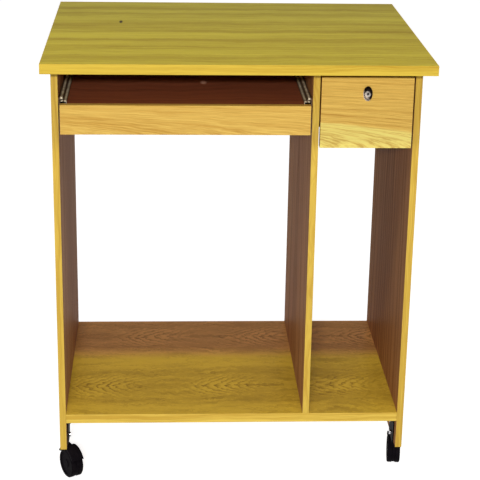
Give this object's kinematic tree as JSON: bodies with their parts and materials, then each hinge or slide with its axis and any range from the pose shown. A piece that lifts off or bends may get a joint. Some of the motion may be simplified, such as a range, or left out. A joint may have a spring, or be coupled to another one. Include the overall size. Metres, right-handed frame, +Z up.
{
  "type": "computer desk",
  "caption": "Compact wooden computer desk on swivel casters, with a pull-out keyboard tray, a lockable drawer, a divider and a full-width bottom shelf.",
  "frame": {"origin": "centre of the desk's footprint on the floor", "axes": "+Z up, +X to the right seen from the front, -Y out of the front"},
  "size_m": [0.61, 0.504, 0.75],
  "materials": {
    "laminate_board": "satin",
    "edge_band": "satin",
    "front_board": "satin",
    "dark_board": "satin",
    "drawer_board": "matte",
    "dowel": "matte",
    "zinc_steel": "satin",
    "slide_steel": "satin",
    "bright_steel": "polished",
    "black_plate": "satin",
    "black_plastic": "matte"
  },
  "bodies": {
    "carcass": {"top_panel": "laminate_board", "top_edge_band": "edge_band", "side_panel_left": "laminate_board", "side_panel_right": "laminate_board", "divider_panel": "laminate_board", "bottom_shelf": "laminate_board", "front_edge_bands": "edge_band", "back_rail_left": "laminate_board", "back_rail_right": "laminate_board", "drawer_top_rail": "laminate_board", "carcass_screws": "zinc_steel", "carcass_dowels": "dowel", "tray_outer_left": "slide_steel", "tray_outer_right": "slide_steel", "drawer_outer_left": "slide_steel", "drawer_outer_right": "slide_steel", "slide_screws": "zinc_steel", "caster_brackets": "black_plate", "bracket_screws": "bright_steel", "caster_stems": "zinc_steel"},
    "tray": {"tray_board": "dark_board", "tray_fascia": "front_board", "tray_inner_left": "slide_steel", "tray_inner_right": "slide_steel", "tray_screws": "zinc_steel"},
    "drawer": {"drawer_front": "front_board", "drawer_side_left": "drawer_board", "drawer_side_right": "drawer_board", "drawer_back": "drawer_board", "drawer_bottom": "drawer_board", "drawer_inner_left": "slide_steel", "drawer_inner_right": "slide_steel", "drawer_screws": "zinc_steel", "lock_body": "black_plate"},
    "tray_balls_l": {"tray_cage_left": "slide_steel", "tray_balls_left": "bright_steel"},
    "tray_balls_r": {"tray_cage_right": "slide_steel", "tray_balls_right": "bright_steel"},
    "drawer_balls_l": {"drawer_cage_left": "slide_steel", "drawer_balls_left": "bright_steel"},
    "drawer_balls_r": {"drawer_cage_right": "slide_steel", "drawer_balls_right": "bright_steel"},
    "lock": {"lock_plug": "bright_steel", "lock_cam": "zinc_steel"},
    "caster_fl": {"hood_fl": "black_plastic", "axle_fl": "zinc_steel"},
    "wheel_fl_a": {"wheel_fl_a": "black_plastic"},
    "wheel_fl_b": {"wheel_fl_b": "black_plastic"},
    "caster_fr": {"hood_fr": "black_plastic", "axle_fr": "zinc_steel"},
    "wheel_fr_a": {"wheel_fr_a": "black_plastic"},
    "wheel_fr_b": {"wheel_fr_b": "black_plastic"},
    "caster_bl": {"hood_bl": "black_plastic", "axle_bl": "zinc_steel"},
    "wheel_bl_a": {"wheel_bl_a": "black_plastic"},
    "wheel_bl_b": {"wheel_bl_b": "black_plastic"},
    "caster_br": {"hood_br": "black_plastic", "axle_br": "zinc_steel"},
    "wheel_br_a": {"wheel_br_a": "black_plastic"},
    "wheel_br_b": {"wheel_br_b": "black_plastic"}
  },
  "joints": [
    {"name": "tray_slide", "type": "slide", "parent": "carcass", "child": "tray", "axis": [0, -1, 0], "range_m": [0, 0.23]},
    {"name": "tray_balls_left_slide", "type": "slide", "parent": "carcass", "child": "tray_balls_l", "axis": [0, -1, 0], "range_m": [0, 0.115]},
    {"name": "tray_balls_right_slide", "type": "slide", "parent": "carcass", "child": "tray_balls_r", "axis": [0, -1, 0], "range_m": [0, 0.115]},
    {"name": "drawer_slide", "type": "slide", "parent": "carcass", "child": "drawer", "axis": [0, -1, 0], "range_m": [0, 0.23]},
    {"name": "drawer_balls_left_slide", "type": "slide", "parent": "carcass", "child": "drawer_balls_l", "axis": [0, -1, 0], "range_m": [0, 0.115]},
    {"name": "drawer_balls_right_slide", "type": "slide", "parent": "carcass", "child": "drawer_balls_r", "axis": [0, -1, 0], "range_m": [0, 0.115]},
    {"name": "lock_turn", "type": "hinge", "parent": "drawer", "child": "lock", "pos_m": [0.207, -0.16, 0.688], "axis": [0, 1, 0], "range_deg": [0, 90]},
    {"name": "swivel_fl", "type": "hinge", "parent": "carcass", "child": "caster_fl", "pos_m": [-0.2885, -0.138, 0.05], "axis": [0, 0, 1], "continuous": true},
    {"name": "spin_fl_a", "type": "hinge", "parent": "caster_fl", "child": "wheel_fl_a", "pos_m": [-0.277, -0.15792, 0.025], "axis": [-0.866, -0.5, 0], "continuous": true},
    {"name": "spin_fl_b", "type": "hinge", "parent": "caster_fl", "child": "wheel_fl_b", "pos_m": [-0.277, -0.15792, 0.025], "axis": [-0.866, -0.5, 0], "continuous": true},
    {"name": "swivel_fr", "type": "hinge", "parent": "carcass", "child": "caster_fr", "pos_m": [0.2885, -0.138, 0.05], "axis": [0, 0, 1], "continuous": true},
    {"name": "spin_fr_a", "type": "hinge", "parent": "caster_fr", "child": "wheel_fr_a", "pos_m": [0.2909, -0.11513, 0.025], "axis": [0.9945, -0.1045, 0], "continuous": true},
    {"name": "spin_fr_b", "type": "hinge", "parent": "caster_fr", "child": "wheel_fr_b", "pos_m": [0.2909, -0.11513, 0.025], "axis": [0.9945, -0.1045, 0], "continuous": true},
    {"name": "swivel_bl", "type": "hinge", "parent": "carcass", "child": "caster_bl", "pos_m": [-0.2885, 0.187, 0.05], "axis": [0, 0, 1], "continuous": true},
    {"name": "spin_bl_a", "type": "hinge", "parent": "caster_bl", "child": "wheel_bl_a", "pos_m": [-0.2885, 0.21, 0.025], "axis": [1, 0, 0], "continuous": true},
    {"name": "spin_bl_b", "type": "hinge", "parent": "caster_bl", "child": "wheel_bl_b", "pos_m": [-0.2885, 0.21, 0.025], "axis": [1, 0, 0], "continuous": true},
    {"name": "swivel_br", "type": "hinge", "parent": "carcass", "child": "caster_br", "pos_m": [0.2885, 0.187, 0.05], "axis": [0, 0, 1], "continuous": true},
    {"name": "spin_br_a", "type": "hinge", "parent": "caster_br", "child": "wheel_br_a", "pos_m": [0.2885, 0.21, 0.025], "axis": [1, 0, 0], "continuous": true},
    {"name": "spin_br_b", "type": "hinge", "parent": "caster_br", "child": "wheel_br_b", "pos_m": [0.2885, 0.21, 0.025], "axis": [1, 0, 0], "continuous": true}
  ],
  "couplings": [
    {"joint": "tray_balls_left_slide", "follows": "tray_slide", "ratio": 0.5},
    {"joint": "tray_balls_right_slide", "follows": "tray_slide", "ratio": 0.5},
    {"joint": "drawer_balls_left_slide", "follows": "drawer_slide", "ratio": 0.5},
    {"joint": "drawer_balls_right_slide", "follows": "drawer_slide", "ratio": 0.5}
  ]
}
